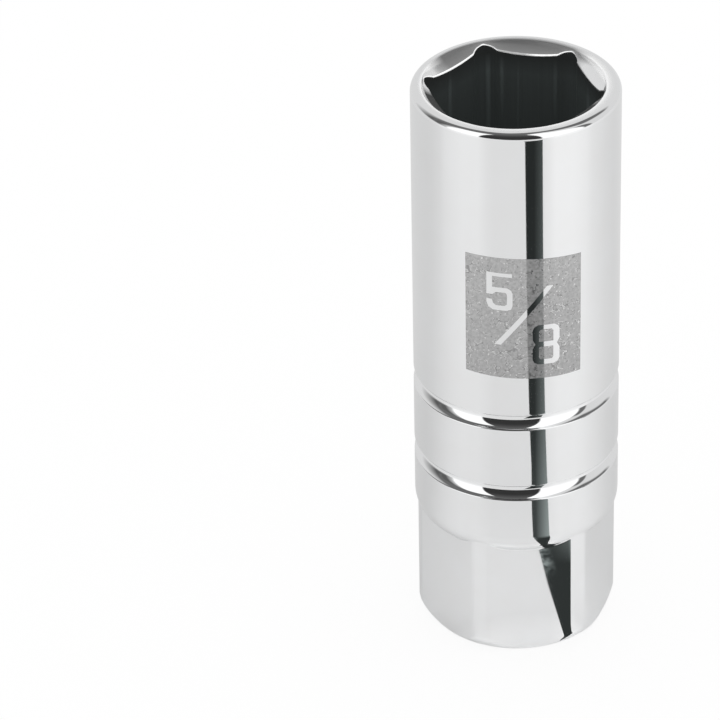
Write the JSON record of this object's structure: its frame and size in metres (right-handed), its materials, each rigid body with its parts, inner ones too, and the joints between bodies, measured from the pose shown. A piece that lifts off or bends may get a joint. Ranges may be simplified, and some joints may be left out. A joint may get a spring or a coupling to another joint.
{
  "type": "spark plug socket",
  "caption": "Deep round spark plug socket with a hexagonal mouth, a rubber grip sleeve inside, grooves round the barrel and a wrench hexagon over a square drive hole.",
  "frame": {"origin": "centre of the drive end face, on the socket's axis, which is also the centre of the base of its box", "axes": "+Z along the axis from the drive end to the mouth; two flats of the wrench hexagon and two sides of the drive square face -Y and +Y"},
  "size_m": [0.0215, 0.0214, 0.0635],
  "materials": {
    "chrome_plate": "polished",
    "sleeve_rubber": "matte"
  },
  "bodies": {
    "root": {"socket_body": "chrome_plate", "grip_sleeve": "sleeve_rubber"}
  },
  "joints": []
}
